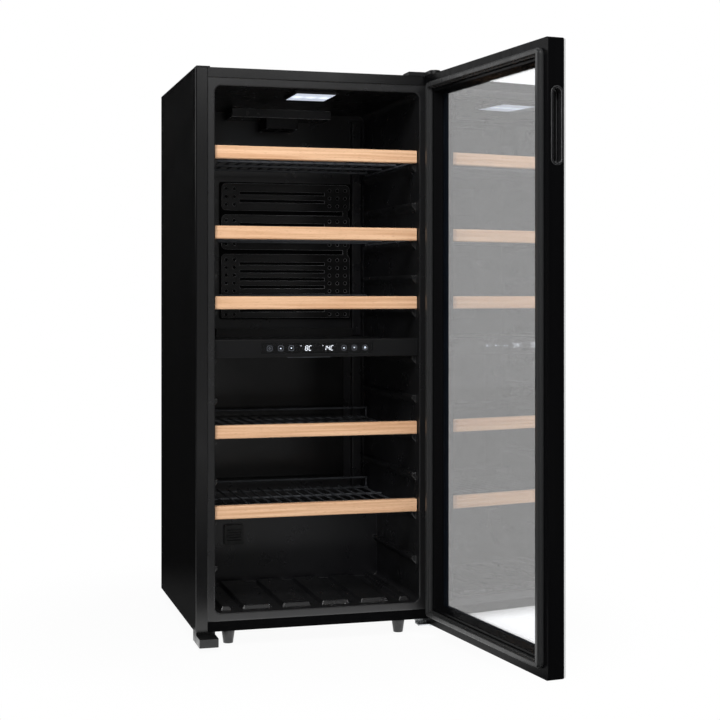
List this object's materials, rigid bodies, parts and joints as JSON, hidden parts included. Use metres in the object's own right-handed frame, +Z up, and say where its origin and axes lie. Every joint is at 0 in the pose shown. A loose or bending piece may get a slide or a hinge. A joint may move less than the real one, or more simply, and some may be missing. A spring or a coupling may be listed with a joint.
{
  "type": "wine cooler",
  "caption": "Upright wine cooler with a hinged glazed door, sliding wire shelves with wooden fronts, a divider with a touch panel, a ceiling lamp and a compressor bay at the back.",
  "frame": {"origin": "on the floor, under the middle of the cabinet", "axes": "+X to the right seen from the front, +Y to the back, +Z up"},
  "size_m": [0.6092, 1.0601, 1.243],
  "materials": {
    "cabinet_paint": "black powder coat, fine grain",
    "zinc_sheet": "galvanised sheet, dull spangle",
    "liner_plastic": "vacuum-formed dark grey sheet",
    "foam": "rigid poured foam",
    "lamp_lens": "frosted clear moulding",
    "fascia_plastic": "satin moulded black",
    "window_acrylic": "polished smoked acrylic",
    "display": "moulded display block",
    "circuit_board": "green solder mask",
    "dark_plastic": "moulded black, fine grain",
    "evaporator_plate": "coated roll-bonded sheet",
    "foot_plastic": "moulded dark grey",
    "compressor_paint": "semi-gloss black enamel",
    "rubber": "moulded rubber",
    "copper": "drawn copper",
    "plated_steel": "bright zinc plate",
    "door_plastic": "extruded satin black",
    "door_glass": "coated tinted float glass",
    "spacer_bar": "black anodised",
    "gasket_rubber": "extruded soft vinyl",
    "beech": "planed and lacquered",
    "rack_wire": "black powder-coated wire"
  },
  "bodies": {
    "cabinet": {"side_panel_left": "cabinet_paint", "side_panel_right": "cabinet_paint", "top_panel": "cabinet_paint", "bottom_panel": "cabinet_paint", "back_panel": "zinc_sheet", "inner_liner": "liner_plastic", "insulation_foam": "foam", "zone_divider": "liner_plastic", "lower_lamp_lens": "lamp_lens", "control_fascia": "fascia_plastic", "control_window": "window_acrylic", "led_displays": "display", "control_board": "circuit_board", "lamp_housing": "liner_plastic", "lamp_lens": "lamp_lens", "upper_evaporator": "evaporator_plate", "drip_tray": "dark_plastic", "fan_hood": "dark_plastic", "fan_frame": "dark_plastic", "lower_evaporator": "evaporator_plate", "wiring_ducts": "liner_plastic", "temperature_sensors": "dark_plastic", "charcoal_filter": "dark_plastic", "bay_base": "zinc_sheet", "rear_feet": "foot_plastic", "compressor": "compressor_paint", "compressor_grommets": "rubber", "start_relay_box": "dark_plastic", "evaporation_pan": "dark_plastic", "filter_drier": "copper", "bay_grille": "cabinet_paint", "cord_gland": "rubber", "top_hinge_bracket": "plated_steel", "top_hinge_cover": "dark_plastic", "bottom_hinge_bracket": "plated_steel", "spare_hinge_cap": "dark_plastic", "door_rest_block": "dark_plastic"},
    "door": {"door_frame": "door_plastic", "handle_cup": "dark_plastic", "outer_glass": "door_glass", "inner_glass": "door_glass", "glass_spacer": "spacer_bar", "door_gasket": "gasket_rubber", "door_bushes": "dark_plastic"},
    "shelf_1": {"shelf_front_1": "beech", "shelf_rack_1": "rack_wire"},
    "shelf_2": {"shelf_front_2": "beech", "shelf_rack_2": "rack_wire"},
    "shelf_3": {"shelf_front_3": "beech", "shelf_rack_3": "rack_wire"},
    "shelf_4": {"shelf_front_4": "beech", "shelf_rack_4": "rack_wire"},
    "shelf_5": {"shelf_front_5": "beech", "shelf_rack_5": "rack_wire"},
    "fan": {"fan_rotor": "dark_plastic"},
    "foot_left": {"foot_front_left": "foot_plastic"},
    "foot_right": {"foot_front_right": "foot_plastic"}
  },
  "joints": [
    {"name": "door_hinge", "type": "hinge", "parent": "cabinet", "child": "door", "pos_m": [0.255, -0.277, 0.63], "axis": [0, 0, 1], "range_deg": [-96.5, 18.5]},
    {"name": "shelf_slide_1", "type": "slide", "parent": "cabinet", "child": "shelf_1", "axis": [0, -1, 0], "range_m": [0, 0.24]},
    {"name": "shelf_slide_2", "type": "slide", "parent": "cabinet", "child": "shelf_2", "axis": [0, -1, 0], "range_m": [0, 0.24]},
    {"name": "shelf_slide_3", "type": "slide", "parent": "cabinet", "child": "shelf_3", "axis": [0, -1, 0], "range_m": [0, 0.24]},
    {"name": "shelf_slide_4", "type": "slide", "parent": "cabinet", "child": "shelf_4", "axis": [0, -1, 0], "range_m": [0, 0.24]},
    {"name": "shelf_slide_5", "type": "slide", "parent": "cabinet", "child": "shelf_5", "axis": [0, -1, 0], "range_m": [0, 0.24]},
    {"name": "fan_spin", "type": "hinge", "parent": "cabinet", "child": "fan", "pos_m": [0, 0.1522, 1.162], "axis": [0, 0, 1], "continuous": true},
    {"name": "foot_left_turn", "type": "hinge", "parent": "cabinet", "child": "foot_left", "pos_m": [-0.192, -0.21, 0.017], "axis": [0, 0, 1], "continuous": true},
    {"name": "foot_right_turn", "type": "hinge", "parent": "cabinet", "child": "foot_right", "pos_m": [0.192, -0.21, 0.017], "axis": [0, 0, 1], "continuous": true}
  ]
}
